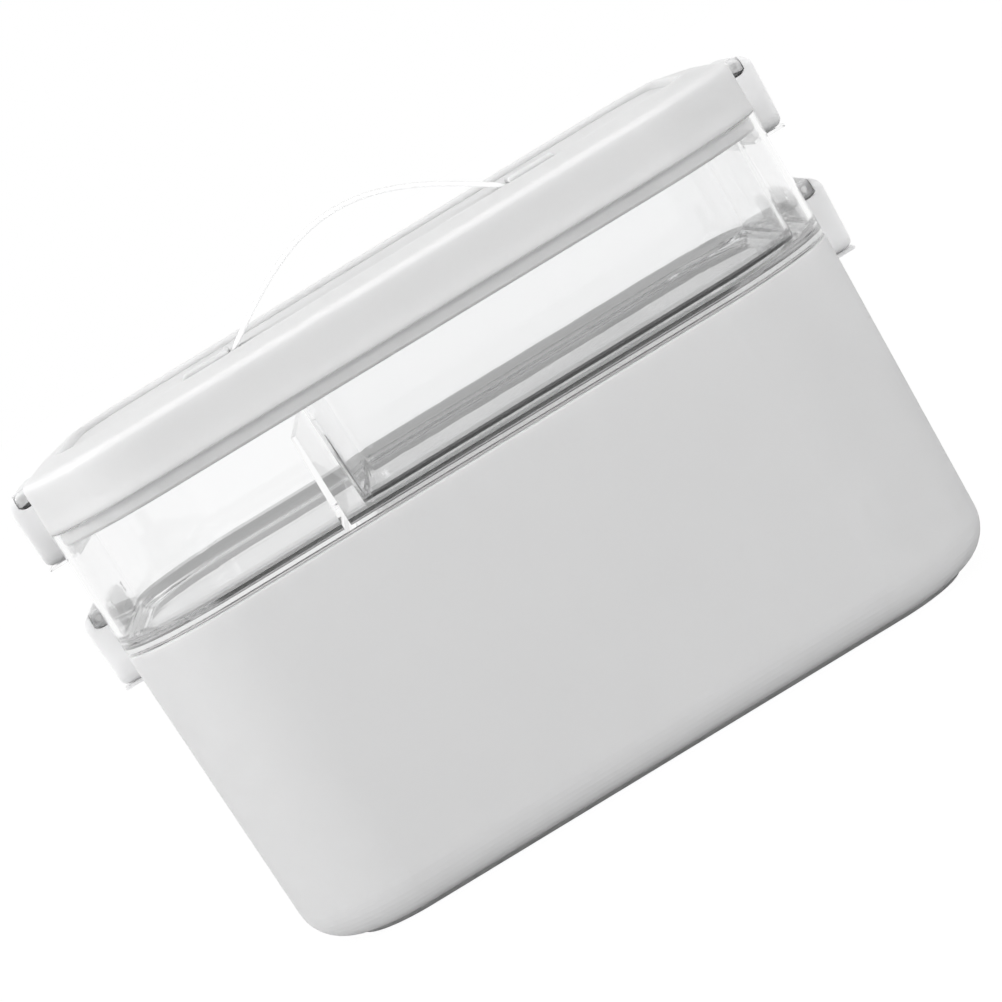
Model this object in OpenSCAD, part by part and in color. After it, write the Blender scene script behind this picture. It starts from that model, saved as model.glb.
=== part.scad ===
// Medicine storage box: a deep lower box, a clear middle tray with a loose
// insert, a lid with a push-down strap handle, and four snap latches on pins.
// Millimetres, +Z up. The origin is on the floor under the middle of the box,
// the length runs along X and the front faces -Y.

/* [Outline] */
// Length over the lid, left to right
body_l = 300; // [260:1:360]
// Depth over the lid, front to back
body_w = 195; // [170:1:240]
// Radius of the lid's corners, seen from above
corner_r = 50; // [42:1:52]
// Running gap between pieces that lift off each other
lift_gap = 0.3; // [0.2:0.05:0.6]

/* [Lower box] */
// Height of the lower box from the floor to its rim
box_h = 132.8; // [90:0.1:180]
// Wall of the lower box
box_wall = 2.4; // [1.6:0.1:3.2]
// Draft of the lower box's sides in degrees
box_draft = 1.75; // [0.5:0.05:2.5]
// Fillet between the sides and the bottom
box_fillet = 17; // [8:0.5:20]
// Height of the foot ring
foot_h = 1.7; // [1:0.1:4]
// Width of the foot ring
foot_w = 4; // [2:0.5:8]

/* [Middle tray] */
// Height of the tray's side between the lower box and the lid
tray_h = 52.3; // [46:0.1:90]
// Wall of the tray
tray_wall = 2.2; // [1.6:0.1:2.8]
// Draft of the tray's sides in degrees
tray_draft = 0.5; // [0.2:0.1:1.5]
// Thickness of the tray's floor
tray_floor = 2; // [1.5:0.1:3]
// Height of the tray's floor above the lower box's rim
tray_lift = 2.3; // [2:0.1:8]
// Fillet inside the tray between its floor and sides
tray_fillet = 6; // [2:0.5:8]
// Depth of the skirt that locates the tray in the lower box
tray_skirt_h = 6; // [3:0.5:10]
// Height of the shadow line around the tray's foot
foot_line_h = 1.4; // [0.6:0.1:2]
// Depth of that shadow line
foot_line_d = 0.9; // [0.4:0.1:1.4]
// Reveal between the lid's side and the tray's side
reveal = 0.2; // [0.2:0.05:0.6]

/* [Partition] */
// Place of the partition left of the middle
partition_x = 54; // [40:0.1:80]
// Thickness of the partition at its top
partition_top_t = 1.9; // [1.4:0.1:2.6]
// Thickness of the partition at its foot
partition_foot_t = 2.8; // [2:0.1:4]
// Height of the partition at the front wall
partition_front_h = 37.7; // [20:0.1:41]
// Height of the partition at the back wall
partition_back_h = 33.5; // [20:0.1:41]

/* [Insert] */
// Height of the loose insert
insert_h = 48; // [25:0.5:50]
// Wall of the insert
insert_wall = 1.6; // [1.2:0.1:2.2]
// Draft of the insert's sides in degrees
insert_draft = 1.8; // [0.5:0.1:2]
// Gap between the insert's foot and the right end of the tray's flat floor
insert_end_gap = 2.8; // [2:0.1:20]
// Gap between the insert's foot and the front of the tray's flat floor
insert_side_gap = 2; // [1.5:0.1:6]
// Gap between the insert's foot and the partition's foot
insert_left_gap = 7.6; // [3.5:0.1:20]
// Radius of the insert's two left corners
insert_corner_r = 10; // [9:0.5:16]
// Radius of the insert's two right corners
insert_end_r = 34; // [33:0.5:38]
// Overhang of the insert's rim
insert_rim = 1.5; // [1:0.1:2]

/* [Lid] */
// Height of the lid's side
skirt_h = 20.4; // [19.5:0.1:26]
// Wall of the lid
lid_wall = 2.4; // [1.6:0.1:3]
// Rise of the bevel between the side and the crest
bevel_h = 4; // [3.4:0.1:8]
// Width of the bevel seen from above
bevel_w = 17; // [10:0.5:20]
// Depth of the dish inside the crest
dish_d = 2.7; // [1.5:0.1:3.2]
// Depth of the lip that locates the lid in the tray
lip_h = 5.7; // [3:0.1:8]
// Thickness of that lip
lip_t = 1.8; // [1.2:0.1:2.4]

/* [Strap handle] */
// Distance between the strap's two feet
strap_span = 123; // [100:1:150]
// Rise of the strap's middle above its feet
strap_rise = 26.5; // [15:0.5:32]
// Width of the strap
strap_w = 18; // [12:0.5:24]
// Thickness of the strap
strap_t = 1.8; // [1.2:0.1:2.4]
// Length of the strap's enlarged ends
head_l = 5; // [4:0.5:8]
// Lap of the guides past the slots that the strap's ends slide in
guide_lap = 3; // [2:0.1:6]
// Height of the guides above the dish
guide_h = 2.1; // [1.6:0.1:2.6]

/* [Latches] */
// Width of a latch
latch_w = 66; // [50:1:80]
// Height of a latch below its pin
latch_drop = 27.2; // [25:0.1:32]
// Distance from the wall to the pin's axis
pin_out = 3.6; // [3.4:0.1:4.5]
// Distance from the pin's axis to the latch's outer face
latch_out = 6.8; // [6.4:0.1:8]
// Thickness of the latch's plate
latch_plate = 2.6; // [2:0.1:3]
// Diameter of the steel pins
pin_d = 2.5; // [2:0.1:3]
// Running gap around a pin in its latch
pin_gap = 0.05; // [0.02:0.01:0.1]
// Height of a pin above the seam that its latch closes
pin_up = 16; // [14.5:0.1:16.2]

/* [Hidden] */

$fn = 96;
eps = 0.01;
left = -1;
right = 1;

// Levels
z_rim = box_h;
z_seam = z_rim + tray_h;
z_shoulder = z_seam + skirt_h;
z_crest = z_shoulder + bevel_h;
z_dish = z_crest - dish_d;
z_floor = z_rim + tray_lift;

// Corner axes of the whole box, and the outward distance of each wall from them
axis_x = body_l / 2 - corner_r;
axis_y = body_w / 2 - corner_r;
function tray_r(z) = corner_r - reveal - (z_seam - z) * tan(tray_draft);
function tray_in_r(z) = tray_r(z) - tray_wall;
function box_r(z) = tray_r(z_rim) + reveal / 2 - (z_rim - z) * tan(box_draft);

// Points of an arc
function arc(c, r, from, to, steps) =
    [for (i = [0 : steps]) let (a = from + (to - from) * i / steps)
        [c[0] + r * cos(a), c[1] + r * sin(a)]];

// The corner b between a and c, rounded with radius r
function rounded(a, b, c, r, steps = 6) =
    let (u = (a - b) / norm(a - b), v = (c - b) / norm(c - b),
        half = acos(u * v) / 2,
        mid = b + (u + v) / norm(u + v) * r / sin(half),
        p = b + u * r / tan(half) - mid, q = b + v * r / tan(half) - mid,
        from = atan2(p[1], p[0]), turn = atan2(q[1], q[0]) - from,
        to = from + (turn > 180 ? turn - 360 : turn < -180 ? turn + 360 : turn))
    arc(mid, r, from, to, steps);

// A wall profile carried round a rectangle with rounded corners: x is the
// outward distance from the corner axes, which stand at half distances ax and ay
module around(ax, ay) {
    corners = [[ax, ay, 0], [-ax, ay, 90], [-ax, -ay, 180], [ax, -ay, 270]];
    for (c = corners)
        translate([c[0], c[1], 0]) rotate([0, 0, c[2]]) rotate_extrude(angle = 90) children();
    for (turn = [0, 180]) {
        rotate([0, 0, turn]) translate([ax, ay, 0]) rotate([90, 0, 0])
            linear_extrude(2 * ay) children();
        rotate([0, 0, turn + 90]) translate([ay, ax, 0]) rotate([90, 0, 0])
            linear_extrude(2 * ax) children();
    }
}

// A plate inside the corner axes, from z0 to z1
module middle_plate(ax, ay, z0, z1) {
    translate([-ax, -ay, z0]) cube([2 * ax, 2 * ay, z1 - z0]);
}

module on_side(side) {
    if (side == right) children();
    else mirror([1, 0, 0]) children();
}

// A profile in X and Z, drawn out along Y over width w about the middle
module across(w) {
    translate([0, w / 2, 0]) rotate([90, 0, 0]) linear_extrude(w) children();
}

/* Latch stations. A latch hangs from a pin beside a wall. The upper pair joins
the lid to the tray and the lower pair joins the tray to the lower box. */
upper_wall = body_l / 2;
lower_wall = axis_x + box_r(z_rim);
upper_pin_z = z_seam + pin_up;
lower_pin_z = z_rim + pin_up;
function wall_of(upper) = upper ? upper_wall : lower_wall;
function pin_z_of(upper) = upper ? upper_pin_z : lower_pin_z;

module at_pin(upper, side) {
    on_side(side) translate([wall_of(upper) + pin_out, 0, pin_z_of(upper)]) children();
}

pin_r = pin_d / 2;
latch_gap = 0.5;
knuckle_r = pin_out - latch_gap;
wall_sink = 1.2;

// Ears. The front one is blind, and the pin goes in from the back.
ear_set_in = 0.4;
ear_r = knuckle_r - ear_set_in;
ear_t = 5;
ear_toe_r = 0.8;
ear_slope = 1.2;
ear_skin = 1.4;
ear_gap = 0.4;
press_gap = 0.02;
pin_end_gap = 0.4;
notch_w = ear_t + 2 * ear_gap;
notch_r = ear_r + 1.2;
notch_depth = 2 * pin_out + ear_r + ear_gap;
ear_y = (latch_w - notch_w) / 2;
bore_front = -ear_y - ear_t / 2 + ear_skin;
bore_back = ear_y + ear_t / 2;

// Latch body
latch_taper = 1.5;
latch_edge_r = 5;
latch_top_r = 5.4;
latch_bottom_r = 3.2;
latch_toe_r = 2.2;
latch_flange = 2.4;
latch_foot_t = 2.4;
cavity_roof = 0.6;

// Catch that a latch's foot grips, and guard under the latch
catch_out = 3;
catch_h = 4;
catch_nose = 1;
catch_slope = 1.6;
catch_gap = 0.3;
catch_side_gap = 0.5;
guard_t = 1.2;
guard_out = 9.2;
guard_gap = 0.3;
guard_set_in = 1.5;

// The bore of a pin or the pin itself, along Y from y0 to y1
module along_pin(r, y0, y1) {
    translate([0, y1, 0]) rotate([90, 0, 0]) cylinder(h = y1 - y0, r = r);
}

// Side view of a latch about its pin's axis
module latch_profile() {
    top = knuckle_r;
    inner = -knuckle_r;
    a = [inner, -latch_drop];
    b = [latch_out - latch_taper, -latch_drop];
    c = [latch_out, top];
    d = [0, top];
    polygon(concat(
        arc([0, 0], knuckle_r, 180, 90, 8),
        rounded(d, c, b, latch_top_r, 8),
        rounded(c, b, a, latch_bottom_r, 6),
        rounded(b, a, [inner, 0], latch_toe_r, 6)));
}

// Front view of a latch, with its rounded corners
module latch_outline() {
    w = latch_w / 2;
    r = latch_edge_r;
    polygon(concat(
        arc([w - r, knuckle_r - r], r, 0, 90, 8), arc([r - w, knuckle_r - r], r, 90, 180, 8),
        arc([r - w, r - latch_drop], r, 180, 270, 8), arc([w - r, r - latch_drop], r, 270, 360, 8)));
}

module latch(upper, side) {
    cavity_w = latch_w - 2 * latch_flange;
    reach = pin_out + latch_out;
    color("gainsboro") at_pin(upper, side) difference() {
        intersection() {
            across(latch_w) latch_profile();
            translate([-pin_out, 0, 0]) rotate([90, 0, 90]) linear_extrude(reach) latch_outline();
        }
        // Hollow behind the plate, over the catch
        translate([-pin_out - eps, -cavity_w / 2, latch_foot_t - latch_drop])
            cube([pin_out + latch_out - latch_taper - latch_plate, cavity_w,
                latch_drop - latch_foot_t - knuckle_r - cavity_roof]);
        // Notches for the ears, one at each end
        for (end = [-1, 1]) translate([0, end * ear_y, 0]) {
            across(notch_w + eps) intersection() {
                circle(notch_r);
                translate([-2 * pin_out, -notch_r]) square([notch_depth, 2 * notch_r]);
            }
            translate([-2 * pin_out, -notch_w / 2 - eps, 0])
                cube([notch_depth, notch_w + 2 * eps, 2 * knuckle_r]);
            translate([-2 * pin_out, -notch_w / 2 - eps, -notch_r])
                cube([2 * pin_out, notch_w + 2 * eps, notch_r + eps]);
        }
        along_pin(pin_r + pin_gap, -latch_w, latch_w);
    }
}

// The two ears that carry a pin, standing out of the wall
module ears(upper, side) {
    root = -pin_out - wall_sink;
    toe = [ear_r, -ear_r];
    heel = [root, ear_slope - ear_r];
    at_pin(upper, side) difference() {
        for (end = [-1, 1]) translate([0, end * ear_y, 0]) across(ear_t)
            polygon(concat([[root, ear_r]], arc([0, 0], ear_r, 90, 0, 8),
                rounded([ear_r, 0], toe, heel, ear_toe_r, 4), [heel]));
        along_pin(pin_r + press_gap, bore_front, latch_w);
    }
}

module hinge_pin(upper, side) {
    color("silver") at_pin(upper, side)
        along_pin(pin_r, bore_front + pin_end_gap, bore_back - pin_end_gap);
}

module catch_and_guard(upper, side) {
    catch_w = latch_w - 2 * (latch_flange + catch_side_gap);
    under = latch_foot_t - latch_drop + catch_gap;
    root = -pin_out - wall_sink;
    lip = catch_out - pin_out;
    low = -latch_drop - guard_gap;
    tip = guard_out - pin_out;
    at_pin(upper, side) {
        across(catch_w) polygon([[root, under], [lip, under], [lip, under + catch_nose],
            [root, under + catch_h + catch_slope]]);
        across(latch_w - 2 * guard_set_in) polygon(concat([[root, low]],
            rounded([root, low], [tip, low], [tip, low - guard_t], guard_t / 4, 3),
            rounded([tip, low], [tip, low - guard_t], [root, low - guard_t], guard_t * 0.6, 5),
            [[root, low - guard_t]]));
    }
}

// Edges of the mouldings at their seams
rim_edge_r = 0.8;
seam_edge = 0.4;

module lower_box() {
    turn_z = foot_h + box_fillet;
    turn_r = box_r(turn_z) - box_fillet / cos(box_draft);
    slope_in = box_wall / cos(box_draft);
    rim_out = box_r(z_rim);
    color("gainsboro") {
        around(axis_x, axis_y) polygon(concat(
            [[0, foot_h + box_wall]],
            arc([turn_r, turn_z], box_fillet - box_wall, -90, -box_draft, 10),
            [[rim_out - slope_in, z_rim]],
            rounded([rim_out - slope_in, z_rim], [rim_out, z_rim], [box_r(turn_z), turn_z], rim_edge_r, 4),
            arc([turn_r, turn_z], box_fillet, -box_draft, -90, 12),
            [[turn_r, 0], [turn_r - foot_w, 0], [turn_r - foot_w, foot_h], [0, foot_h]]));
        middle_plate(axis_x, axis_y, foot_h, foot_h + box_wall);
        for (side = [left, right]) catch_and_guard(false, side);
    }
}

module partition() {
    y0 = axis_y + tray_in_r(z_floor) + tray_wall / 2;
    foot = partition_foot_t / 2;
    top = partition_top_t / 2;
    h = max(partition_front_h, partition_back_h);
    translate([-partition_x, 0, z_floor]) intersection() {
        across(2 * y0) polygon([[-foot, -eps], [foot, -eps], [top, h], [-top, h]]);
        translate([-partition_foot_t, 0, 0]) rotate([90, 0, 90])
            linear_extrude(2 * partition_foot_t)
            polygon([[-y0, -eps], [y0, -eps], [y0, partition_back_h], [-y0, partition_front_h]]);
    }
}

module middle_tray() {
    skirt_r = box_r(z_rim) - box_wall / cos(box_draft) - lift_gap;
    turn_r = tray_in_r(z_floor + tray_fillet) - tray_fillet;
    skirt_low_r = skirt_r - tray_skirt_h * tan(box_draft);
    skirt_t = 1.8;
    line_r = tray_r(z_rim) - foot_line_d;
    color("azure", 0.4) {
        around(axis_x, axis_y) polygon(concat(
            [[0, z_floor]],
            arc([turn_r, z_floor + tray_fillet], tray_fillet, -90, 0, 8),
            [[tray_in_r(z_seam), z_seam], [tray_r(z_seam) - seam_edge, z_seam],
                [tray_r(z_seam - seam_edge), z_seam - seam_edge],
                [tray_r(z_rim + foot_line_h), z_rim + foot_line_h],
                [line_r, z_rim + foot_line_h / 2], [line_r, z_rim], [skirt_r, z_rim],
                [skirt_low_r, z_rim - tray_skirt_h],
                [skirt_low_r - skirt_t, z_rim - tray_skirt_h],
                [skirt_r - skirt_t, z_floor - tray_floor], [0, z_floor - tray_floor]]));
        middle_plate(axis_x, axis_y, z_floor - tray_floor, z_floor);
        partition();
        for (side = [left, right]) {
            ears(false, side);
            catch_and_guard(true, side);
        }
    }
}

insert_fillet = 5.8;
insert_foot_c = 1;
insert_rim_t = 1.6;
insert_lap = 8;

/* The insert stands on the tray's flat floor right of the partition. Its right
corners are wide, to clear the tray's own corners, and its left ones are small. */
module insert_tray() {
    flat_r = tray_in_r(z_floor + tray_fillet) - tray_fillet;
    y1 = axis_y + flat_r - insert_side_gap;
    x1 = axis_x + flat_r - insert_end_gap;
    x0 = -partition_x + partition_foot_t / 2 + insert_left_gap;
    big = [x1 - insert_end_r, y1 - insert_end_r, insert_end_r];
    small = [x0 + insert_corner_r, y1 - insert_corner_r, insert_corner_r];
    lean = insert_h * tan(insert_draft);
    f = insert_fillet;
    fillet_x = f * tan(insert_draft) - insert_wall;
    // Wall profile, x measured outward from the insert's foot line
    wall = concat([[-insert_lap, 0], [-insert_foot_c, 0], [0, insert_foot_c]],
        [[lean, insert_h - insert_rim_t], [lean + insert_rim, insert_h - insert_rim_t],
            [lean + insert_rim, insert_h], [lean - insert_wall, insert_h],
            [fillet_x, insert_wall + f]],
        arc([fillet_x - f, insert_wall + f], f, 0, -90, 6),
        [[-insert_lap, insert_wall]]);
    color("aliceblue", 0.4) translate([0, 0, z_floor]) {
        for (sy = [-1, 1]) mirrored_y(sy) {
            translate([big[0], big[1], 0]) rotate_extrude(angle = 90)
                translate([big[2], 0]) polygon(wall);
            translate([small[0], small[1], 0]) rotate([0, 0, 90]) rotate_extrude(angle = 90)
                translate([small[2], 0]) polygon(wall);
            translate([small[0], y1, 0]) rotate([90, 0, 90])
                linear_extrude(big[0] - small[0]) polygon(wall);
        }
        translate([x1, big[1], 0]) rotate([90, 0, 0]) linear_extrude(2 * big[1]) polygon(wall);
        translate([x0, -small[1], 0]) rotate([90, 0, 180]) linear_extrude(2 * small[1]) polygon(wall);
        insert_floor(big, small);
    }
}

module mirrored_y(sy) {
    if (sy > 0) children();
    else mirror([0, 1, 0]) children();
}

// The flat part of the insert's floor, lapping its wall profile
module insert_floor(big, small) {
    rb = big[2] - insert_lap + 1;
    rs = small[2] - insert_lap + 1;
    linear_extrude(insert_wall) polygon(concat(
        arc([big[0], big[1]], rb, 0, 90, 24), arc([small[0], small[1]], rs, 90, 180, 24),
        arc([small[0], -small[1]], rs, 180, 270, 24), arc([big[0], -big[1]], rb, 270, 360, 24)));
}

// Strap, the wells that its ends slide in, and its guides
strap_sink = 0.5;
strap_under = 0.4;
strap_z = z_dish - strap_t / 2 - strap_sink;
well_gap = 0.3;
well_wall = 1.6;
well_floor_z = strap_z - strap_t / 2 - strap_under;
foot_x = strap_span / 2;
neck_l = 4.6;
well_in_x = foot_x - neck_l;
head_x = foot_x + neck_l;
head_w = strap_w + 3;
head_t = strap_t + 0.3;
head_c = 0.6;
slide_room = 0.6;
well_out_x = head_x + head_l + strap_travel() + slide_room;
guide_l = well_out_x + guide_lap - foot_x;
// How far each end slides out when the arch is pressed flat
function strap_travel() =
    let (steps = 60,
        zs = [for (i = [0 : steps]) strap_rise * sin(180 * i / steps)],
        dx = strap_span / steps,
        len = total([for (i = [0 : steps - 1]) norm([dx, zs[i + 1] - zs[i]])]))
    (len - strap_span) / 2;
function total(v, i = 0) = i < len(v) ? v[i] + total(v, i + 1) : 0;

module well_space() {
    // Neck for the strap, and the wider space for its enlarged end
    translate([well_in_x, -strap_w / 2 - well_gap, well_floor_z])
        cube([head_x - well_in_x, strap_w + 2 * well_gap, z_dish - well_floor_z + 1]);
    translate([head_x - well_gap, -head_w / 2 - well_gap, well_floor_z])
        cube([well_out_x - head_x + well_gap, head_w + 2 * well_gap, z_dish - well_floor_z + 1]);
}

// Section of the lid's edge
shoulder_r = 2.6;
crest_r = 1;
dish_run = 2.4;
lip_lead = 0.5;
lip_root_h = 3;

module lid() {
    top = [corner_r, z_shoulder];
    crest = [corner_r - bevel_w, z_crest];
    dish = [corner_r - bevel_w - dish_run, z_dish];
    lip_r = tray_in_r(z_seam) - lift_gap;
    lip_in = lip_r - lip_t;
    under = z_dish - lid_wall;
    in_r = corner_r - lid_wall;
    color("whitesmoke") difference() {
        union() {
            around(axis_x, axis_y) polygon(concat(
                [[lip_in, z_seam - lip_h], [lip_r - lip_lead, z_seam - lip_h],
                    [lip_r, z_seam - lip_h + 2 * lip_lead], [lip_r, z_seam],
                    [corner_r - seam_edge, z_seam], [corner_r, z_seam + seam_edge]],
                rounded([corner_r, z_seam], top, crest, shoulder_r, 6),
                rounded(top, crest, dish, crest_r, 4),
                [dish, [0, z_dish], [0, under], [dish[0] - crest_r, under],
                    [crest[0], z_crest - lid_wall], [in_r, z_shoulder - lid_wall],
                    [in_r, z_seam + lip_root_h + lip_t], [lip_in, z_seam + lip_root_h]]));
            middle_plate(axis_x, axis_y, under, z_dish);
            for (side = [left, right]) {
                ears(true, side);
                // Well under the dish for the strap's end
                on_side(side) translate([well_in_x - well_wall, -head_w / 2 - well_gap - well_wall,
                    well_floor_z - well_wall])
                    cube([well_out_x - well_in_x + 2 * well_wall, head_w + 2 * well_gap + 2 * well_wall,
                        under - well_floor_z + well_wall + eps]);
            }
        }
        for (side = [left, right]) on_side(side) {
            well_space();
            for (sy = [-1, 1]) mirrored_y(sy) guide_slot();
        }
    }
}

// Guides: a low cover over each well, on two legs that snap through the lid
guide_w = head_w + 9.6;
guide_c = 1;
guide_toe = 1.6;
guide_toe_h = 0.5;
leg_w = 6;
leg_t = 1.4;
leg_gap = 0.15;
leg_reach = 2;
leg_barb = 0.5;
barb_top = 0.2;
barb_low = 0.9;
leg_y = guide_w / 2 - leg_t - leg_barb - 2 * leg_gap - 0.3;
leg_x = foot_x + guide_l / 2;

// The slot in the lid that a guide's leg snaps through
module guide_slot() {
    translate([leg_x - leg_w / 2 - leg_gap, leg_y - leg_gap, z_dish - 4 * lid_wall])
        cube([leg_w + 2 * leg_gap, leg_t + leg_barb + 2 * leg_gap, 5 * lid_wall]);
}

module strap_guide(side) {
    top = z_dish + guide_h;
    under = z_dish - lid_wall;
    out_y = guide_w / 2;
    leg_out = leg_y + leg_t;
    color("white") on_side(side) {
        intersection() {
            across(guide_w) polygon([[foot_x, z_dish], [foot_x, top - guide_c],
                [foot_x + guide_c, top], [foot_x + guide_l - guide_toe, top],
                [foot_x + guide_l, z_dish + guide_toe_h], [foot_x + guide_l, z_dish]]);
            translate([foot_x, 0, 0]) rotate([90, 0, 90]) linear_extrude(guide_l)
                polygon([[-out_y, z_dish], [out_y, z_dish], [out_y, top - guide_c],
                    [out_y - guide_c, top], [guide_c - out_y, top], [-out_y, top - guide_c]]);
        }
        for (sy = [-1, 1]) mirrored_y(sy) translate([leg_x + leg_w / 2, 0, 0]) rotate([90, 0, -90])
            linear_extrude(leg_w) mirror([1, 0]) polygon([[leg_y, z_dish + eps],
                [leg_y, under - leg_reach], [leg_out, under - leg_reach],
                [leg_out + leg_barb, under - barb_low], [leg_out + leg_barb, under - barb_top],
                [leg_out, under - barb_top], [leg_out, z_dish + eps]]);
    }
}

// Half a wave of the strap's middle line, from foot to foot, with its normals
function strap_line(steps) = [for (i = [0 : steps]) let (a = 180 * i / steps)
    [-foot_x + strap_span * i / steps, strap_z + strap_rise * sin(a)]];
function strap_normal(steps) = [for (i = [0 : steps]) let (a = 180 * i / steps,
    slope = strap_rise * PI / strap_span * cos(a)) [-slope, 1] / norm([-slope, 1])];

module handle_strap() {
    steps = 36;
    line = strap_line(steps);
    up = strap_normal(steps);
    t = strap_t / 2;
    x1 = head_x;
    color("ghostwhite") across(strap_w) polygon(concat(
        [[-x1, strap_z + t]],
        [for (i = [0 : steps]) line[i] + up[i] * t],
        [[x1, strap_z + t], [x1, strap_z - t]],
        [for (i = [steps : -1 : 0]) line[i] - up[i] * t],
        [[-x1, strap_z - t]]));
}

module strap_end(side) {
    x1 = head_x + head_l;
    z0 = strap_z - strap_t / 2;
    z1 = z0 + head_t;
    color("ghostwhite") on_side(side) across(head_w) polygon([[head_x, z0], [x1 - head_c, z0],
        [x1, z0 + head_c], [x1, z1 - head_c], [x1 - head_c, z1], [head_x, z1]]);
}

lower_box();
middle_tray();
insert_tray();
lid();
handle_strap();
strap_end(left);  // strap_end_left
strap_end(right);  // strap_end_right
strap_guide(left);  // strap_guide_left
strap_guide(right);  // strap_guide_right
latch(true, left);  // upper_latch_left
latch(true, right);  // upper_latch_right
latch(false, left);  // lower_latch_left
latch(false, right);  // lower_latch_right
hinge_pin(true, left);  // upper_pin_left
hinge_pin(true, right);  // upper_pin_right
hinge_pin(false, left);  // lower_pin_left
hinge_pin(false, right);  // lower_pin_right
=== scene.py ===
import math

import bmesh
import bpy
from bpy.props import FloatProperty, FloatVectorProperty, IntProperty, PointerProperty
from bpy.types import Operator, Panel, PropertyGroup
from mathutils import Matrix, Vector


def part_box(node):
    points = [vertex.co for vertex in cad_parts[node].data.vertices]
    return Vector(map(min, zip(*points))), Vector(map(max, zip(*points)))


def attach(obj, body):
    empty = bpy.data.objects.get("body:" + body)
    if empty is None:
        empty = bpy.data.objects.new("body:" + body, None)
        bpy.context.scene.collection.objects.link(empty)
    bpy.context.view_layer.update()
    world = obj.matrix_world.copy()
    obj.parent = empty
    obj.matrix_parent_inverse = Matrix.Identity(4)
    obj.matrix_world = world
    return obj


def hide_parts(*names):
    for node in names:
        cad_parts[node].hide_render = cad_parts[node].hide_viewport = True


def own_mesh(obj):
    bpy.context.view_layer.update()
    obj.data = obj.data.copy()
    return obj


bl_info = {
    "name": "Medicine Box",
    "version": (1, 0, 0),
    "blender": (4, 5, 0),
    "location": "3D View > Sidebar > Medicine Box",
    "description": "Strap, finishes and stage of a two-tier medicine storage box",
    "category": "Object",
}

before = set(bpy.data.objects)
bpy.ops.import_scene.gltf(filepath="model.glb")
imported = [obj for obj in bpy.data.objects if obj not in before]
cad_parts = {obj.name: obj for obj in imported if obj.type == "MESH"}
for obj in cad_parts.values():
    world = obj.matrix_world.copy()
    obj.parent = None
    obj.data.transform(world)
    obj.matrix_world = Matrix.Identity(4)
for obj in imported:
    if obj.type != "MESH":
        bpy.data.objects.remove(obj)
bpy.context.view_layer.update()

LID_LOW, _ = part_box("lid")
GUIDE_LOW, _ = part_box("strap_guide_right")
STRAP_LOW, STRAP_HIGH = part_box("handle_strap")

FOOT_LEAD = 0.4  # share of the foot's blend that lies inside the guide
EDGE_ROUNDING = 0.95  # radius of the strap's edges, as a share of half its thickness
EDGE_FACETS = 6  # flats round each edge of the strap

PLASTIC_IOR = 1.49
COLOUR_DRIFT = 0.012  # how far a moulding's colour drifts to each side, as a share of it
GLOSS_DRIFT = 0.05  # how far a moulding's roughness drifts to each side
GRAIN_SCALE = 2200.0
RUB_FINENESS = 520.0
RUB_POLISH = -0.08  # change of roughness where a moulding is rubbed
RUB_SOFTNESS = 0.12  # width of the rub marks' soft edges in the noise that draws them
LATCH_MILKINESS = 0.2  # depth of the light in a latch, as a share of the lower box's
STRAP_MILKINESS = 0.15
THROUGH_CLEAR = 0.94  # share of straight light that clear plastic lets through
TRAPPED_AFTER = 2.5  # reflections after which light in clear plastic counts as trapped

FLOOR_GAP = 0.0002  # how far the floor lies under the box's foot ring
FLOOR_WHITE = 1.10  # brightness of the floor's white light
FLOOR_WHITE_SHARE = 0.88  # the rest keeps the object's shadow
SENSOR_WIDTH = 36.0  # millimetres

# Name, place, target, width and height, and the setting that holds its power
LAMPS = (
    ("Top Lamp", (0.0, -0.25, 1.5), (0.0, 0.0, 0.1), (1.6, 1.2), "top_power"),
    ("Left Lamp", (-1.3, -0.5, 0.7), (0.0, 0.0, 0.12), (0.9, 0.9), "left_power"),
    ("Front Lamp", (1.1, -2.0, 0.9), (0.0, 0.0, 0.12), (1.4, 1.2), "front_power"),
)


class StrapSettings(PropertyGroup):
    """Sizes of the strap handle."""

    width: FloatProperty(
        name="Width", description="Width of the strap, front to back",
        default=STRAP_HIGH.y - STRAP_LOW.y, min=0.008, max=0.04, unit="LENGTH")
    thickness: FloatProperty(
        name="Thickness", description="Thickness of the strap",
        default=0.0018, min=0.001, max=0.004, unit="LENGTH")
    span: FloatProperty(
        name="Span", description="Distance between the two places where the arch leaves its guides",
        default=2 * GUIDE_LOW.x, min=0.08, max=0.18, unit="LENGTH")
    foot_blend: FloatProperty(
        name="Foot blend", description="Length over which the arch turns level inside a guide",
        default=0.007, min=0.001, max=0.02, unit="LENGTH")
    steps: IntProperty(
        name="Steps", description="Number of sections along the strap",
        default=140, min=24, max=400)


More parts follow.
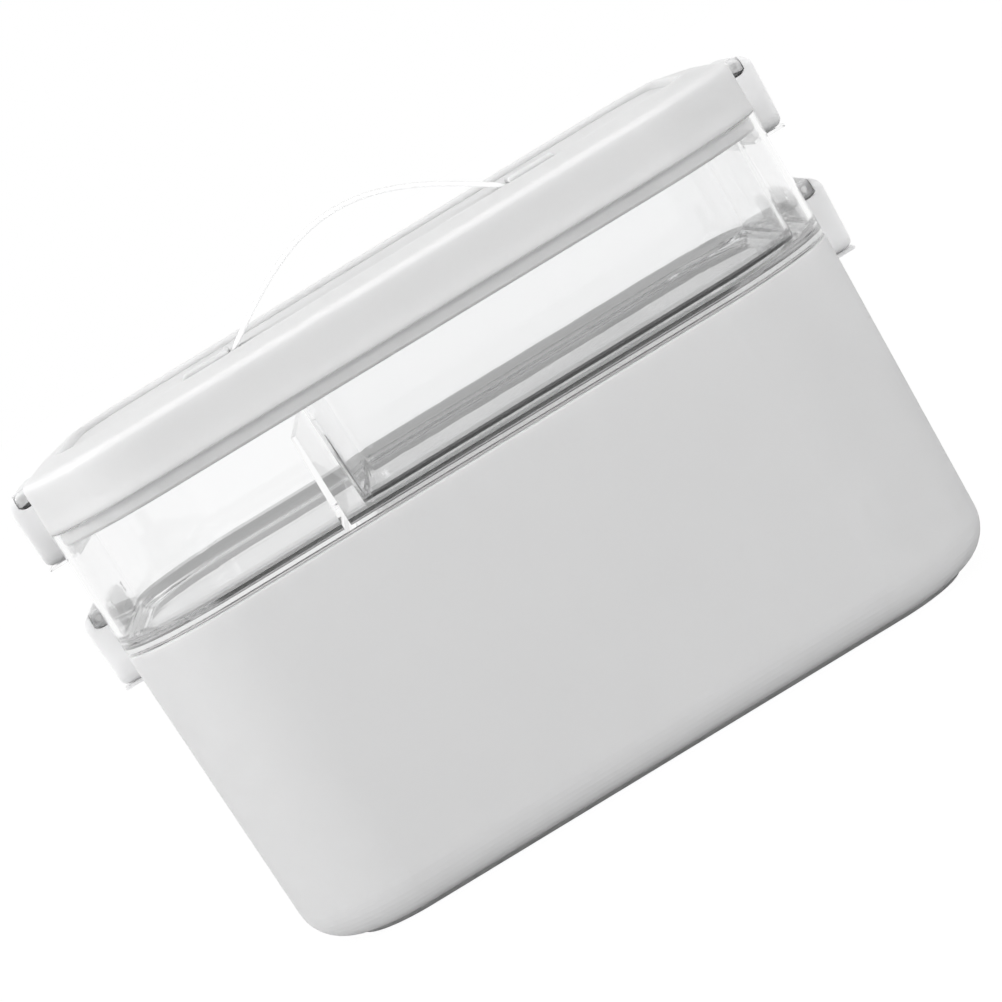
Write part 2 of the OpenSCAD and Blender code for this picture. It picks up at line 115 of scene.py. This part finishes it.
class FinishSettings(PropertyGroup):
    """Colours, grain and milkiness of the mouldings."""

    box_colour: FloatVectorProperty(
        name="Box", description="Colour of the lower box",
        default=(0.77, 0.77, 0.775), size=3, min=0.0, max=1.0, subtype="COLOR")
    lid_colour: FloatVectorProperty(
        name="Lid", description="Colour of the lid and the strap's guides",
        default=(0.90, 0.90, 0.903), size=3, min=0.0, max=1.0, subtype="COLOR")
    latch_colour: FloatVectorProperty(
        name="Latches", description="Colour of the four latches",
        default=(0.81, 0.81, 0.813), size=3, min=0.0, max=1.0, subtype="COLOR")
    strap_colour: FloatVectorProperty(
        name="Strap", description="Colour of the strap handle",
        default=(0.87, 0.87, 0.87), size=3, min=0.0, max=1.0, subtype="COLOR")
    tray_colour: FloatVectorProperty(
        name="Tray", description="Tint of the clear tray",
        default=(0.975, 0.976, 0.977), size=3, min=0.0, max=1.0, subtype="COLOR")
    insert_colour: FloatVectorProperty(
        name="Insert", description="Tint of the clear insert",
        default=(0.99, 0.991, 0.992), size=3, min=0.0, max=1.0, subtype="COLOR")
    grain_depth: FloatProperty(
        name="Grain depth", description="Depth of the fine grain that the mould leaves",
        default=0.00002, min=0.0, max=0.0002, unit="LENGTH", precision=6)
    light_depth: FloatProperty(
        name="Light depth", description="How deep light goes into the lower box and the lid",
        default=0.012, min=0.0, max=0.03, unit="LENGTH", precision=5)


class StageSettings(PropertyGroup):
    """Floor, light and camera."""

    floor_size: FloatProperty(
        name="Floor", description="Half the width of the floor",
        default=8.0, min=1.0, max=30.0, unit="LENGTH")
    floor_level: FloatProperty(
        name="Floor level", description="Share of its light that the floor throws back",
        default=0.72, min=0.0, max=1.0)
    # Painted shade: the floor's matt colour as the camera, mirrors and clear pieces see it, darker
    # than floor_level, the colour with which it lights the object
    painted_floor_shade: FloatProperty(
        name="Floor shade", description="Shade of the floor in mirrors and clear pieces",
        default=0.42, min=0.0, max=1.0)
    shade_from: FloatProperty(
        name="Shaded floor",
        description="Distance within which clear pieces show the floor's shade",
        default=0.9, min=0.0, max=10.0, unit="LENGTH")
    white_from: FloatProperty(
        name="White floor", description="Distance beyond which clear pieces show the floor white",
        default=1.6, min=0.0, max=20.0, unit="LENGTH")
    world_level: FloatProperty(
        name="Surroundings", description="Brightness of the surroundings as a light",
        default=0.68, min=0.0, max=2.0)
    top_power: FloatProperty(
        name="Top lamp", description="Power of the large lamp above",
        default=2.5, min=0.0, max=500.0, unit="POWER")
    left_power: FloatProperty(
        name="Left lamp", description="Power of the lamp on the left",
        default=9.5, min=0.0, max=500.0, unit="POWER")
    front_power: FloatProperty(
        name="Front lamp", description="Power of the large lamp in front, to the right",
        default=17.0, min=0.0, max=500.0, unit="POWER")
    camera_distance: FloatProperty(
        name="Camera distance", description="Distance of the camera from the lid's front",
        default=1.306, min=0.3, max=10.0, unit="LENGTH")
    camera_height: FloatProperty(
        name="Camera height", description="Height of the camera above the floor",
        default=0.2596, min=0.0, max=5.0, unit="LENGTH")
    camera_pitch: FloatProperty(
        name="Pitch", description="How far the camera looks down",
        default=math.radians(6.3), min=-1.5, max=1.5, unit="ROTATION")
    camera_yaw: FloatProperty(
        name="Yaw", description="How far the camera looks to the left",
        default=math.radians(0.124), min=-1.5, max=1.5, unit="ROTATION")
    camera_roll: FloatProperty(
        name="Roll", description="How far the object leans to the left in the picture",
        default=math.radians(31.3), min=-3.2, max=3.2, unit="ROTATION")
    focal_length: FloatProperty(
        name="Focal length", description="Focal length in millimetres on a 36 mm sensor",
        default=133.3, min=10.0, max=500.0)


class NodeTree:
    """Adds and links the nodes of one material or node group."""

    def __init__(self, tree):
        self.tree = tree

    def add(self, kind, inputs=(), **settings):
        made = self.tree.nodes.new(kind)
        for name, value in settings.items():
            setattr(made, name, value)
        for socket, value in dict(inputs).items():
            if isinstance(value, bpy.types.NodeSocket):
                self.tree.links.new(value, made.inputs[socket])
            else:
                made.inputs[socket].default_value = value
        return made

    def link(self, source, target):
        self.tree.links.new(source, target)


def new_group(name, inputs, outputs):
    """A shader node group with named sockets: each is (name, kind, default)."""
    tree = bpy.data.node_groups.new(name, "ShaderNodeTree")
    for socket_name, kind, default in inputs:
        socket = tree.interface.new_socket(socket_name, in_out="INPUT", socket_type=kind)
        socket.default_value = default
    for socket_name, kind in outputs:
        tree.interface.new_socket(socket_name, in_out="OUTPUT", socket_type=kind)
    nodes = NodeTree(tree)
    return nodes, nodes.add("NodeGroupInput"), nodes.add("NodeGroupOutput")


def drift(nodes, place, scale, detail):
    """Noise that wanders slowly from -1 to 1."""
    noise = nodes.add("ShaderNodeTexNoise", {"Vector": place, "Scale": scale, "Detail": detail})
    return nodes.add("ShaderNodeMapRange", {
        "Value": noise.outputs["Fac"], "From Min": 0.3, "From Max": 0.7,
        "To Min": -1.0, "To Max": 1.0}).outputs["Result"]


def moulded_skin_group():
    """Slow drift of colour and gloss over a moulding, and the fine grain of its mould."""
    nodes, given, out = new_group(
        "Moulded Skin",
        [("Color", "NodeSocketColor", (0.8, 0.8, 0.8, 1.0)),
         ("Drift", "NodeSocketFloat", COLOUR_DRIFT),
         ("Roughness", "NodeSocketFloat", 0.4),
         ("Roughness Spread", "NodeSocketFloat", GLOSS_DRIFT),
         ("Grain Scale", "NodeSocketFloat", GRAIN_SCALE)],
        [("Color", "NodeSocketColor"), ("Roughness", "NodeSocketFloat"),
         ("Height", "NodeSocketFloat")])
    place = nodes.add("ShaderNodeTexCoord").outputs["Object"]
    amount = nodes.add("ShaderNodeMath", {
        0: drift(nodes, place, scale=9.0, detail=2.0), 1: given.outputs["Drift"]},
        operation="MULTIPLY")
    value = nodes.add("ShaderNodeMath", {0: amount.outputs[0], 1: 1.0}, operation="ADD")
    colour = nodes.add("ShaderNodeVectorMath", {0: given.outputs["Color"]}, operation="SCALE")
    nodes.link(value.outputs[0], colour.inputs["Scale"])
    rough = nodes.add("ShaderNodeMath", {
        0: drift(nodes, place, scale=45.0, detail=4.0), 1: given.outputs["Roughness Spread"],
        2: given.outputs["Roughness"]}, operation="MULTIPLY_ADD")
    grain = nodes.add("ShaderNodeTexNoise", {
        "Vector": place, "Scale": given.outputs["Grain Scale"], "Detail": 3.0})
    nodes.link(colour.outputs[0], out.inputs["Color"])
    nodes.link(rough.outputs[0], out.inputs["Roughness"])
    nodes.link(grain.outputs["Fac"], out.inputs["Height"])
    return nodes.tree


def rub_marks_group():
    """Fine, short wipe marks that lie along the object's length, as a mask from 0 to 1."""
    nodes, given, out = new_group(
        "Rub Marks",
        [("Density", "NodeSocketFloat", 0.5), ("Fineness", "NodeSocketFloat", RUB_FINENESS)],
        [("Mask", "NodeSocketFloat")])
    place = nodes.add("ShaderNodeTexCoord").outputs["Object"]
    drawn = nodes.add("ShaderNodeMapping", {
        "Vector": place, "Scale": (0.05, 0.4, 1.0), "Rotation": (0.0, 0.12, 0.05)})
    lines = nodes.add("ShaderNodeTexNoise", {
        "Vector": drawn.outputs[0], "Scale": given.outputs["Fineness"], "Detail": 2.0})
    where = nodes.add("ShaderNodeTexNoise", {"Vector": place, "Scale": 24.0, "Detail": 2.0})
    both = nodes.add("ShaderNodeMath", {0: lines.outputs["Fac"], 1: where.outputs["Fac"]},
                     operation="MULTIPLY")
    limit = nodes.add("ShaderNodeMapRange", {
        "Value": given.outputs["Density"], "To Min": 0.55, "To Max": 0.2})
    top = nodes.add("ShaderNodeMath", {0: limit.outputs[0], 1: RUB_SOFTNESS}, operation="ADD")
    mask = nodes.add("ShaderNodeMapRange", {
        "Value": both.outputs[0], "From Min": limit.outputs[0], "From Max": top.outputs[0]})
    nodes.link(mask.outputs["Result"], out.inputs["Mask"])
    return nodes.tree


def effect(name, build):
    """The node group of that name, built the first time that it is asked for."""
    return bpy.data.node_groups.get(name) or build()


def new_material(name):
    """An empty node material, and what adds its nodes."""
    material = bpy.data.materials.new(name)
    material.use_nodes = True
    material.node_tree.nodes.clear()
    return material, NodeTree(material.node_tree)


def satin_plastic(name, colour, finish, roughness, rubbed, milkiness=1.0):
    """Injection-moulded plastic with a satin skin that is slightly rubbed. It is opaque, but light
    goes some way in: milkiness is that way as a share of the light depth."""
    material, nodes = new_material(name)
    skin = nodes.add("ShaderNodeGroup", node_tree=effect("Moulded Skin", moulded_skin_group))
    for socket, value in (("Color", (*colour, 1.0)), ("Drift", COLOUR_DRIFT),
                          ("Roughness", roughness), ("Roughness Spread", GLOSS_DRIFT),
                          ("Grain Scale", GRAIN_SCALE)):
        skin.inputs[socket].default_value = value
    rub = nodes.add("ShaderNodeGroup", node_tree=effect("Rub Marks", rub_marks_group))
    rub.inputs["Density"].default_value = rubbed
    rub.inputs["Fineness"].default_value = RUB_FINENESS
    polished = nodes.add("ShaderNodeMath", {
        0: rub.outputs["Mask"], 1: RUB_POLISH, 2: skin.outputs["Roughness"]},
        operation="MULTIPLY_ADD")
    bump = nodes.add("ShaderNodeBump", {
        "Strength": 0.35, "Distance": finish.grain_depth, "Height": skin.outputs["Height"]})
    surface = nodes.add("ShaderNodeBsdfPrincipled", {
        "Base Color": skin.outputs["Color"], "Roughness": polished.outputs[0],
        "IOR": PLASTIC_IOR, "Subsurface Weight": 1.0, "Subsurface Radius": (1.0, 1.0, 1.0),
        "Subsurface Scale": finish.light_depth * milkiness, "Normal": bump.outputs["Normal"]})
    out = nodes.add("ShaderNodeOutputMaterial")
    nodes.link(surface.outputs["BSDF"], out.inputs["Surface"])
    return material


def clear_plastic(name, colour, waviness):
    """Clear styrene, very slightly wavy where it cooled. The lamps' light goes straight through
    it, and so does light that has been reflected three times."""
    material, nodes = new_material(name)
    place = nodes.add("ShaderNodeTexCoord").outputs["Object"]
    flow = nodes.add("ShaderNodeTexNoise", {"Vector": place, "Scale": 55.0, "Detail": 2.0})
    bump = nodes.add("ShaderNodeBump", {
        "Strength": waviness, "Distance": 0.0004, "Height": flow.outputs["Fac"]})
    surface = nodes.add("ShaderNodeBsdfPrincipled", {
        "Base Color": (*colour, 1.0), "Roughness": 0.015, "IOR": PLASTIC_IOR,
        "Transmission Weight": 1.0, "Normal": bump.outputs["Normal"]})
    open_way = nodes.add("ShaderNodeBsdfTransparent", {
        "Color": (THROUGH_CLEAR, THROUGH_CLEAR, THROUGH_CLEAR, 1.0)})
    path = nodes.add("ShaderNodeLightPath")
    trapped = nodes.add("ShaderNodeMath", {
        0: path.outputs["Glossy Depth"], 1: TRAPPED_AFTER}, operation="GREATER_THAN")
    straight = nodes.add("ShaderNodeMath", {
        0: trapped.outputs[0], 1: path.outputs["Is Shadow Ray"]}, operation="MAXIMUM")
    mixed = nodes.add("ShaderNodeMixShader", {0: straight.outputs[0]})
    nodes.link(surface.outputs["BSDF"], mixed.inputs[1])
    nodes.link(open_way.outputs["BSDF"], mixed.inputs[2])
    out = nodes.add("ShaderNodeOutputMaterial")
    nodes.link(mixed.outputs["Shader"], out.inputs["Surface"])
    return material


def drawn_wire(name):
    """Bright steel wire with the lines of the die that it was drawn through."""
    material, nodes = new_material(name)
    place = nodes.add("ShaderNodeTexCoord").outputs["Object"]
    along = nodes.add("ShaderNodeMapping", {"Vector": place, "Scale": (1.0, 0.02, 1.0)})
    lines = nodes.add("ShaderNodeTexNoise", {
        "Vector": along.outputs[0], "Scale": 4000.0, "Detail": 2.0})
    rough = nodes.add("ShaderNodeMapRange", {
        "Value": lines.outputs["Fac"], "To Min": 0.2, "To Max": 0.42})
    tone = nodes.add("ShaderNodeMapRange", {
        "Value": lines.outputs["Fac"], "To Min": 0.5, "To Max": 0.68})
    colour = nodes.add("ShaderNodeCombineColor", {
        "Red": tone.outputs[0], "Green": tone.outputs[0], "Blue": tone.outputs[0]})
    surface = nodes.add("ShaderNodeBsdfPrincipled", {
        "Base Color": colour.outputs[0], "Roughness": rough.outputs[0], "Metallic": 1.0})
    out = nodes.add("ShaderNodeOutputMaterial")
    nodes.link(surface.outputs["BSDF"], out.inputs["Surface"])
    return material


def finish_nodes(material, names):
    """Puts a material on each material slot of the named CAD nodes."""
    for name in names:
        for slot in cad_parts[name].material_slots:
            slot.material = material


def both_ends(name):
    """The names of the two nodes at the box's left and right end."""
    return [name + "_left", name + "_right"]


def strap_path(settings):
    """Points of the strap's middle line in X and Z, from end to end: half a sine wave between
    the guides, and level inside them."""
    foot = settings.span / 2
    level = STRAP_LOW.z + settings.thickness / 2
    rise = STRAP_HIGH.z - STRAP_LOW.z - settings.thickness
    end = STRAP_HIGH.x
    points = []
    for i in range(settings.steps + 1):
        x = -end + 2 * end * i / settings.steps
        inside = foot - abs(x)
        wave = rise * math.sin(math.pi * (x + foot) / settings.span) if inside > 0 else 0.0
        blend = min(max(inside / settings.foot_blend + FOOT_LEAD, 0.0), 1.0)
        points.append(Vector((x, level + wave * blend * blend * (3 - 2 * blend))))
    return points


def strap_section(settings):
    """The strap's section with its rounded edges, as a ring of (y, z) points."""
    half_w, half_t = settings.width / 2, settings.thickness / 2
    edge = half_t * EDGE_ROUNDING
    ring = []
    for side in (1, -1):
        for i in range(EDGE_FACETS + 1):
            angle = math.pi / 2 - math.pi * i / EDGE_FACETS
            ring.append((side * (half_w - edge + edge * math.cos(angle)),
                         side * half_t * math.sin(angle)))
    return ring


def swept_mesh(name, path, section):
    """A closed mesh: the section carried along a path in X and Z, square to it."""
    mesh = bmesh.new()
    rings = []
    for i, point in enumerate(path):
        before, after = path[max(i - 1, 0)], path[min(i + 1, len(path) - 1)]
        along = (after - before).normalized()
        normal = Vector((-along.y, along.x))
        rings.append([mesh.verts.new((point.x + normal.x * z, y, point.y + normal.y * z))
                      for y, z in section])
    count = len(section)
    for low, high in zip(rings, rings[1:]):
        for k in range(count):
            mesh.faces.new((low[k], low[(k + 1) % count], high[(k + 1) % count], high[k]))
    mesh.faces.new(rings[0])
    mesh.faces.new(reversed(rings[-1]))
    bmesh.ops.recalc_face_normals(mesh, faces=mesh.faces)
    data = bpy.data.meshes.new(name)
    mesh.to_mesh(data)
    mesh.free()
    data.polygons.foreach_set("use_smooth", [True] * len(data.polygons))
    return data


class MEDBOX_OT_handle_strap(Operator):
    """Build the strap handle on the lid."""

    bl_idname = "medbox.handle_strap"
    bl_label = "Strap Handle"

    def execute(self, context):
        settings = context.scene.medbox_strap
        finish = context.scene.medbox_finish
        data = swept_mesh("strap_handle", strap_path(settings), strap_section(settings))
        data.materials.append(satin_plastic(
            "Strap Plastic", finish.strap_colour, finish, roughness=0.42, rubbed=0.2,
            milkiness=STRAP_MILKINESS))
        strap = bpy.data.objects.new("strap_handle", data)
        context.collection.objects.link(strap)
        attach(strap, "lid")
        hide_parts("handle_strap")
        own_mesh(strap)
        return {"FINISHED"}


class MEDBOX_OT_opaque_mouldings(Operator):
    """Finish the lower box, the lid, the guides, the strap's ends and the latches."""

    bl_idname = "medbox.opaque_mouldings"
    bl_label = "Opaque Mouldings"

    def execute(self, context):
        finish = context.scene.medbox_finish
        finish_nodes(satin_plastic(
            "Box Plastic", finish.box_colour, finish, roughness=0.46, rubbed=0.3),
            ["lower_box"])
        finish_nodes(satin_plastic(
            "Lid Plastic", finish.lid_colour, finish, roughness=0.42, rubbed=0.3),
            ["lid"] + both_ends("strap_guide"))
        finish_nodes(satin_plastic(
            "Latch Plastic", finish.latch_colour, finish, roughness=0.40, rubbed=0.5,
            milkiness=LATCH_MILKINESS),
            both_ends("upper_latch") + both_ends("lower_latch"))
        finish_nodes(satin_plastic(
            "Strap End Plastic", finish.strap_colour, finish, roughness=0.42, rubbed=0.2,
            milkiness=STRAP_MILKINESS),
            both_ends("strap_end"))
        return {"FINISHED"}


class MEDBOX_OT_clear_mouldings(Operator):
    """Finish the clear tray and its insert."""

    bl_idname = "medbox.clear_mouldings"
    bl_label = "Clear Mouldings"

    def execute(self, context):
        finish = context.scene.medbox_finish
        finish_nodes(clear_plastic("Tray Plastic", finish.tray_colour, waviness=0.05),
                     ["middle_tray"])
        finish_nodes(clear_plastic("Insert Plastic", finish.insert_colour, waviness=0.08),
                     ["insert_tray"])
        return {"FINISHED"}


class MEDBOX_OT_hinge_pins(Operator):
    """Finish the steel pins of the latches."""

    bl_idname = "medbox.hinge_pins"
    bl_label = "Hinge Pins"

    def execute(self, context):
        finish_nodes(drawn_wire("Drawn Steel"), both_ends("upper_pin") + both_ends("lower_pin"))
        return {"FINISHED"}


def seen_directly(nodes):
    """1 for the camera, mirror and see-through rays that show the surroundings themselves."""
    path = nodes.add("ShaderNodeLightPath")
    either = nodes.add("ShaderNodeMath", {
        0: path.outputs["Is Camera Ray"], 1: path.outputs["Is Glossy Ray"]}, operation="MAXIMUM")
    any_of = nodes.add("ShaderNodeMath", {
        0: either.outputs[0], 1: path.outputs["Is Transmission Ray"]}, operation="MAXIMUM")
    return any_of.outputs[0]


def floor_material(settings):
    """Pale floor that shows white to the camera and keeps a soft shadow. Its matt part carries a
    painted shade: to the camera, gloss and clear pieces it is darker than the colour with which it
    lights the object. Gloss and clear pieces show it in that painted grey shade near the object,
    and white further off."""
    material, nodes = new_material("Pale Floor")
    direct = seen_directly(nodes)
    # Painted shade: seen directly, in a mirror or through a clear piece, the matt floor takes the
    # darker painted tone instead of floor_level
    tone = nodes.add("ShaderNodeMapRange", {
        "Value": direct, "To Min": settings.floor_level, "To Max": settings.painted_floor_shade})
    matt = nodes.add("ShaderNodeBsdfDiffuse", {"Color": tone.outputs["Result"]})
    white = nodes.add("ShaderNodeEmission", {
        "Color": (1.0, 1.0, 1.0, 1.0), "Strength": FLOOR_WHITE})
    place = nodes.add("ShaderNodeNewGeometry").outputs["Position"]
    away = nodes.add("ShaderNodeVectorMath", {0: place}, operation="LENGTH")
    far = nodes.add("ShaderNodeMapRange", {
        "Value": away.outputs["Value"], "From Min": settings.shade_from,
        "From Max": settings.white_from}, interpolation_type="SMOOTHSTEP")
    path = nodes.add("ShaderNodeLightPath")
    wide = nodes.add("ShaderNodeMath", {
        0: far.outputs["Result"], 1: path.outputs["Is Camera Ray"]}, operation="MAXIMUM")
    shown = nodes.add("ShaderNodeMath", {0: wide.outputs[0], 1: direct}, operation="MULTIPLY")
    share = nodes.add("ShaderNodeMath", {0: shown.outputs[0], 1: FLOOR_WHITE_SHARE},
                      operation="MULTIPLY")
    mixed = nodes.add("ShaderNodeMixShader", {0: share.outputs[0]})
    nodes.link(matt.outputs["BSDF"], mixed.inputs[1])
    nodes.link(white.outputs["Emission"], mixed.inputs[2])
    out = nodes.add("ShaderNodeOutputMaterial")
    nodes.link(mixed.outputs["Shader"], out.inputs["Surface"])
    return material


def area_lamp(context, name, place, target, size, power):
    """Adds a rectangular lamp that faces the target."""
    data = bpy.data.lights.new(name, "AREA")
    data.shape = "RECTANGLE"
    data.size, data.size_y = size
    data.energy = power
    lamp = bpy.data.objects.new(name, data)
    lamp.location = place
    lamp.rotation_euler = (Vector(target) - Vector(place)).to_track_quat("-Z", "Y").to_euler()
    context.collection.objects.link(lamp)


class MEDBOX_OT_stage(Operator):
    """Set the floor, the surroundings, the lamps and the camera."""

    bl_idname = "medbox.stage"
    bl_label = "Stage"

    def execute(self, context):
        settings = context.scene.medbox_stage
        self.floor(context, settings)
        self.surroundings(context, settings)
        for name, place, target, size, power in LAMPS:
            area_lamp(context, name, place, target, size, getattr(settings, power))
        self.camera(context, settings)
        context.scene.view_settings.view_transform = "Standard"
        return {"FINISHED"}

    def floor(self, context, settings):
        mesh = bmesh.new()
        bmesh.ops.create_grid(mesh, x_segments=8, y_segments=8, size=settings.floor_size)
        data = bpy.data.meshes.new("stage_floor")
        mesh.to_mesh(data)
        mesh.free()
        floor = bpy.data.objects.new("stage_floor", data)
        floor.location.z = -FLOOR_GAP
        context.collection.objects.link(floor)
        data.materials.append(floor_material(settings))

    def surroundings(self, context, settings):
        world = bpy.data.worlds.new("Studio")
        world.use_nodes = True
        world.node_tree.nodes.clear()
        nodes = NodeTree(world.node_tree)
        level = nodes.add("ShaderNodeMapRange", {
            "Value": seen_directly(nodes), "To Min": settings.world_level, "To Max": 1.0})
        light = nodes.add("ShaderNodeBackground", {
            "Color": (1.0, 1.0, 1.0, 1.0), "Strength": level.outputs[0]})
        out = nodes.add("ShaderNodeOutputWorld")
        nodes.link(light.outputs["Background"], out.inputs["Surface"])
        context.scene.world = world

    def camera(self, context, settings):
        data = bpy.data.cameras.new("Photograph View")
        data.sensor_width = SENSOR_WIDTH
        data.lens = settings.focal_length
        data.clip_end = 50.0
        camera = bpy.data.objects.new("Photograph View", data)
        pitch, yaw = settings.camera_pitch, settings.camera_yaw
        forward = Vector((-math.sin(yaw) * math.cos(pitch), math.cos(yaw) * math.cos(pitch),
                          -math.sin(pitch)))
        place = Matrix.Translation(
            (0.0, LID_LOW.y - settings.camera_distance, settings.camera_height))
        turn = forward.to_track_quat("-Z", "Y").to_matrix().to_4x4()
        camera.matrix_world = place @ turn @ Matrix.Rotation(-settings.camera_roll, 4, "Z")
        context.collection.objects.link(camera)
        context.scene.camera = camera


class MEDBOX_PT_sidebar(Panel):
    """Lists the operators of the medicine box and their settings."""

    bl_label = "Medicine Box"
    bl_idname = "MEDBOX_PT_sidebar"
    bl_space_type = "VIEW_3D"
    bl_region_type = "UI"
    bl_category = "Medicine Box"

    def draw(self, context):
        layout = self.layout
        for operator in OPERATORS:
            layout.operator(operator.bl_idname)
        for group, title in ((context.scene.medbox_strap, "Strap"),
                             (context.scene.medbox_finish, "Finishes"),
                             (context.scene.medbox_stage, "Stage")):
            box = layout.box()
            box.label(text=title)
            for name in group.__annotations__:
                box.prop(group, name)


OPERATORS = (
    MEDBOX_OT_opaque_mouldings,
    MEDBOX_OT_clear_mouldings,
    MEDBOX_OT_hinge_pins,
    MEDBOX_OT_handle_strap,
    MEDBOX_OT_stage,
)
SETTINGS = {
    "medbox_strap": StrapSettings,
    "medbox_finish": FinishSettings,
    "medbox_stage": StageSettings,
}


def register():
    for cls in (*SETTINGS.values(), *OPERATORS, MEDBOX_PT_sidebar):
        bpy.utils.register_class(cls)
    for name, cls in SETTINGS.items():
        setattr(bpy.types.Scene, name, PointerProperty(type=cls))


def unregister():
    for name in SETTINGS:
        delattr(bpy.types.Scene, name)
    for cls in reversed((*SETTINGS.values(), *OPERATORS, MEDBOX_PT_sidebar)):
        bpy.utils.unregister_class(cls)


def main():
    register()
    for operator in OPERATORS:
        getattr(bpy.ops.medbox, operator.bl_idname.split(".")[1])()
    bpy.context.view_layer.update()


if __name__ == "__main__":
    main()
